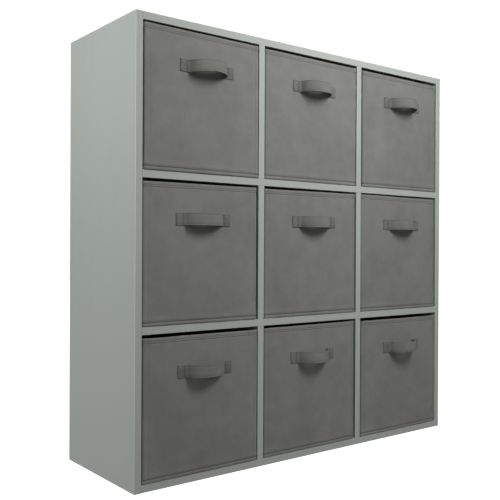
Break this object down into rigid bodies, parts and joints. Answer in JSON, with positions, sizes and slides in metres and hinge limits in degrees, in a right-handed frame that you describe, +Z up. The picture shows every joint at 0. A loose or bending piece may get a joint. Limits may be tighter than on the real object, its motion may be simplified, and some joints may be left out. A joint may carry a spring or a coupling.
{
  "type": "cube storage unit",
  "caption": "Open-fronted wooden frame divided into equal cubes, each filled by a pull-out fabric box with a sewn strap handle.",
  "frame": {"origin": "middle of the frame's footprint at floor level, half way through the depth of the boards", "axes": "+Z up, +X to the right seen from the front, the drawers face -Y"},
  "size_m": [0.894, 0.325, 0.903],
  "materials": {
    "grey_melamine_board": "satin",
    "fibreboard_back": "matte",
    "drawer_fabric": "matte",
    "strap_fabric": "matte",
    "stiffener_card": "matte",
    "zinc_fittings": "satin",
    "cap_plastic": "matte",
    "beech_dowel": "matte"
  },
  "bodies": {
    "cabinet": {"left_side_panel": "grey_melamine_board", "right_side_panel": "grey_melamine_board", "bottom_panel": "grey_melamine_board", "lower_shelf": "grey_melamine_board", "upper_shelf": "grey_melamine_board", "top_panel": "grey_melamine_board", "bottom_left_divider": "grey_melamine_board", "bottom_right_divider": "grey_melamine_board", "middle_left_divider": "grey_melamine_board", "middle_right_divider": "grey_melamine_board", "top_left_divider": "grey_melamine_board", "top_right_divider": "grey_melamine_board", "left_back_leaf": "fibreboard_back", "middle_back_leaf": "fibreboard_back", "right_back_leaf": "fibreboard_back", "cam_bolts": "zinc_fittings", "cam_nuts": "zinc_fittings", "cam_caps": "cap_plastic", "dowels": "beech_dowel", "long_dowels": "beech_dowel", "back_nails": "zinc_fittings"},
    "bottom_left_drawer": {"bottom_left_drawer_cover": "drawer_fabric", "bottom_left_drawer_cards": "stiffener_card", "bottom_left_drawer_handle": "strap_fabric"},
    "bottom_left_base_board": {"bottom_left_drawer_base": "stiffener_card"},
    "bottom_middle_drawer": {"bottom_middle_drawer_cover": "drawer_fabric", "bottom_middle_drawer_cards": "stiffener_card", "bottom_middle_drawer_handle": "strap_fabric"},
    "bottom_middle_base_board": {"bottom_middle_drawer_base": "stiffener_card"},
    "bottom_right_drawer": {"bottom_right_drawer_cover": "drawer_fabric", "bottom_right_drawer_cards": "stiffener_card", "bottom_right_drawer_handle": "strap_fabric"},
    "bottom_right_base_board": {"bottom_right_drawer_base": "stiffener_card"},
    "middle_left_drawer": {"middle_left_drawer_cover": "drawer_fabric", "middle_left_drawer_cards": "stiffener_card", "middle_left_drawer_handle": "strap_fabric"},
    "middle_left_base_board": {"middle_left_drawer_base": "stiffener_card"},
    "middle_middle_drawer": {"middle_middle_drawer_cover": "drawer_fabric", "middle_middle_drawer_cards": "stiffener_card", "middle_middle_drawer_handle": "strap_fabric"},
    "middle_middle_base_board": {"middle_middle_drawer_base": "stiffener_card"},
    "middle_right_drawer": {"middle_right_drawer_cover": "drawer_fabric", "middle_right_drawer_cards": "stiffener_card", "middle_right_drawer_handle": "strap_fabric"},
    "middle_right_base_board": {"middle_right_drawer_base": "stiffener_card"},
    "top_left_drawer": {"top_left_drawer_cover": "drawer_fabric", "top_left_drawer_cards": "stiffener_card", "top_left_drawer_handle": "strap_fabric"},
    "top_left_base_board": {"top_left_drawer_base": "stiffener_card"},
    "top_middle_drawer": {"top_middle_drawer_cover": "drawer_fabric", "top_middle_drawer_cards": "stiffener_card", "top_middle_drawer_handle": "strap_fabric"},
    "top_middle_base_board": {"top_middle_drawer_base": "stiffener_card"},
    "top_right_drawer": {"top_right_drawer_cover": "drawer_fabric", "top_right_drawer_cards": "stiffener_card", "top_right_drawer_handle": "strap_fabric"},
    "top_right_base_board": {"top_right_drawer_base": "stiffener_card"}
  },
  "joints": [
    {"name": "bottom_left_drawer_slide", "type": "slide", "parent": "cabinet", "child": "bottom_left_drawer", "axis": [0, -1, 0], "range_m": [0, 0.3]},
    {"name": "bottom_left_base_board_lift", "type": "slide", "parent": "bottom_left_drawer", "child": "bottom_left_base_board", "axis": [0, 0, 1], "range_m": [0, 0.25]},
    {"name": "bottom_middle_drawer_slide", "type": "slide", "parent": "cabinet", "child": "bottom_middle_drawer", "axis": [0, -1, 0], "range_m": [0, 0.3]},
    {"name": "bottom_middle_base_board_lift", "type": "slide", "parent": "bottom_middle_drawer", "child": "bottom_middle_base_board", "axis": [0, 0, 1], "range_m": [0, 0.25]},
    {"name": "bottom_right_drawer_slide", "type": "slide", "parent": "cabinet", "child": "bottom_right_drawer", "axis": [0, -1, 0], "range_m": [0, 0.3]},
    {"name": "bottom_right_base_board_lift", "type": "slide", "parent": "bottom_right_drawer", "child": "bottom_right_base_board", "axis": [0, 0, 1], "range_m": [0, 0.25]},
    {"name": "middle_left_drawer_slide", "type": "slide", "parent": "cabinet", "child": "middle_left_drawer", "axis": [0, -1, 0], "range_m": [0, 0.3]},
    {"name": "middle_left_base_board_lift", "type": "slide", "parent": "middle_left_drawer", "child": "middle_left_base_board", "axis": [0, 0, 1], "range_m": [0, 0.25]},
    {"name": "middle_middle_drawer_slide", "type": "slide", "parent": "cabinet", "child": "middle_middle_drawer", "axis": [0, -1, 0], "range_m": [0, 0.3]},
    {"name": "middle_middle_base_board_lift", "type": "slide", "parent": "middle_middle_drawer", "child": "middle_middle_base_board", "axis": [0, 0, 1], "range_m": [0, 0.25]},
    {"name": "middle_right_drawer_slide", "type": "slide", "parent": "cabinet", "child": "middle_right_drawer", "axis": [0, -1, 0], "range_m": [0, 0.3]},
    {"name": "middle_right_base_board_lift", "type": "slide", "parent": "middle_right_drawer", "child": "middle_right_base_board", "axis": [0, 0, 1], "range_m": [0, 0.25]},
    {"name": "top_left_drawer_slide", "type": "slide", "parent": "cabinet", "child": "top_left_drawer", "axis": [0, -1, 0], "range_m": [0, 0.3]},
    {"name": "top_left_base_board_lift", "type": "slide", "parent": "top_left_drawer", "child": "top_left_base_board", "axis": [0, 0, 1], "range_m": [0, 0.25]},
    {"name": "top_middle_drawer_slide", "type": "slide", "parent": "cabinet", "child": "top_middle_drawer", "axis": [0, -1, 0], "range_m": [0, 0.3]},
    {"name": "top_middle_base_board_lift", "type": "slide", "parent": "top_middle_drawer", "child": "top_middle_base_board", "axis": [0, 0, 1], "range_m": [0, 0.25]},
    {"name": "top_right_drawer_slide", "type": "slide", "parent": "cabinet", "child": "top_right_drawer", "axis": [0, -1, 0], "range_m": [0, 0.3]},
    {"name": "top_right_base_board_lift", "type": "slide", "parent": "top_right_drawer", "child": "top_right_base_board", "axis": [0, 0, 1], "range_m": [0, 0.25]}
  ]
}
